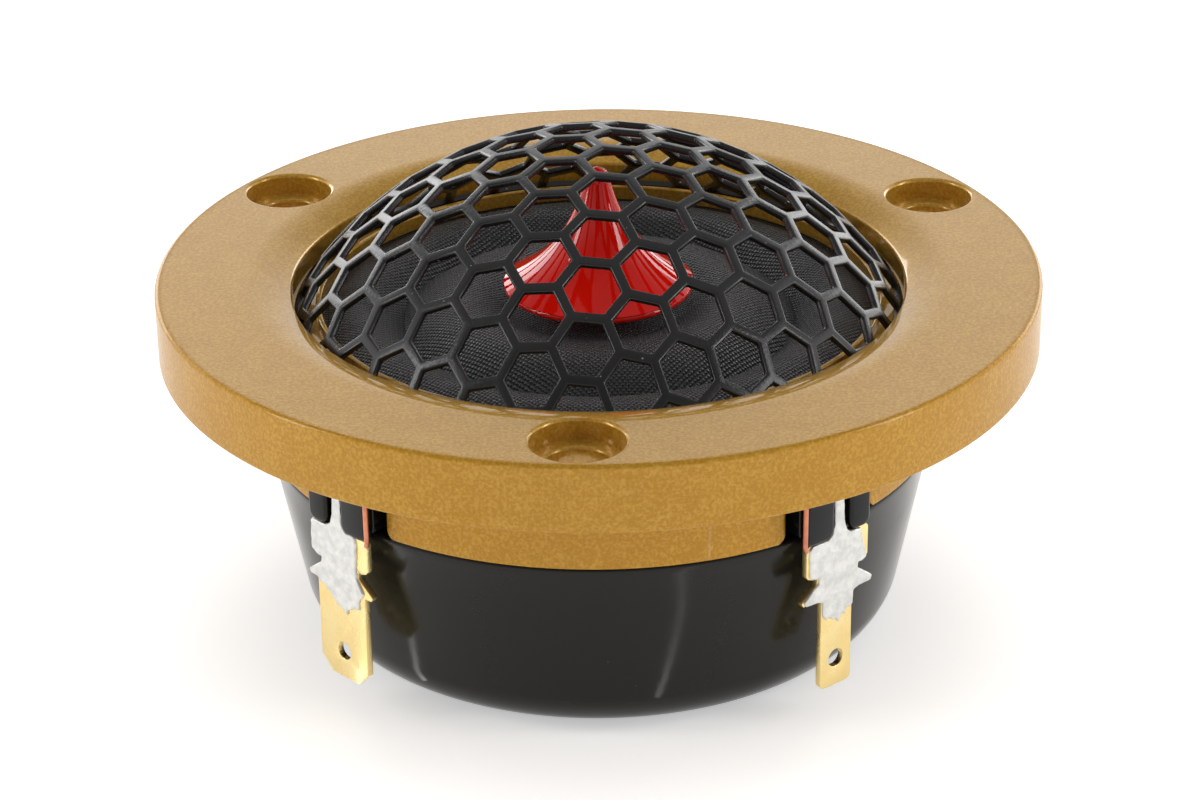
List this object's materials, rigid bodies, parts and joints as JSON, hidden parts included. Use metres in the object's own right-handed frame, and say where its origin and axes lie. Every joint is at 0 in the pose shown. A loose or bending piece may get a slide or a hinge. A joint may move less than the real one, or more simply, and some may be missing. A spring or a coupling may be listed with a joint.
{
  "type": "car tweeter",
  "caption": "Ring-radiator tweeter with a domed honeycomb grille, a flared phase plug, a round screw flange and a closed rear cup with push-on tabs.",
  "frame": {"origin": "centre of the screw-hole circle on the flange's rear seat", "axes": "+Z along the tweeter's axis towards the listener, -Y towards the front mounting hole, +X towards the narrow terminal's side"},
  "size_m": [0.062, 0.062, 0.0347],
  "materials": {
    "bronze_paint": "metallic bronze paint under clear gloss",
    "grille_black": "satin black powder coat",
    "plug_red": "high-gloss red",
    "coated_textile": "coated black weave",
    "black_plastic": "moulded black",
    "cup_black": "gloss black moulding",
    "gold_plate": "gold-plated brass",
    "solder": "dull mottled solder",
    "enamelled_copper": "copper wire with salmon enamel",
    "polyimide": "amber film",
    "zinc_steel": "zinc-plated steel",
    "nickel_magnet": "nickel-plated neodymium",
    "copper_cap": "bare copper",
    "natural_plastic": "natural nylon",
    "felt": "grey wool felt",
    "brass_stud": "turned brass"
  },
  "bodies": {
    "root": {"faceplate": "bronze_paint", "grille": "grille_black", "phase_plug": "plug_red", "plug_stud": "brass_stud", "diaphragm_frame": "black_plastic", "inner_clamp": "black_plastic", "lead_wire_positive": "enamelled_copper", "lead_wire_negative": "enamelled_copper", "terminal_positive": "gold_plate", "terminal_negative": "gold_plate", "solder_positive": "solder", "solder_negative": "solder", "terminal_holder_positive": "cup_black", "terminal_holder_negative": "cup_black", "top_plate": "zinc_steel", "magnet_slugs": "nickel_magnet", "magnet_locator": "natural_plastic", "yoke": "zinc_steel", "copper_ring": "copper_cap", "pole_damping": "felt", "rear_cup": "cup_black", "chamber_felt": "felt"},
    "voice_coil": {"coil_former": "polyimide", "coil_winding": "enamelled_copper", "diaphragm": "coated_textile"}
  },
  "joints": [
    {"name": "coil_travel", "type": "slide", "parent": "root", "child": "voice_coil", "axis": [0, 0, 1], "range_m": [-0.00035, 0.00035], "stiffness_N_per_m": 200, "deforming": ["diaphragm", "lead_wire_positive", "lead_wire_negative"]}
  ]
}
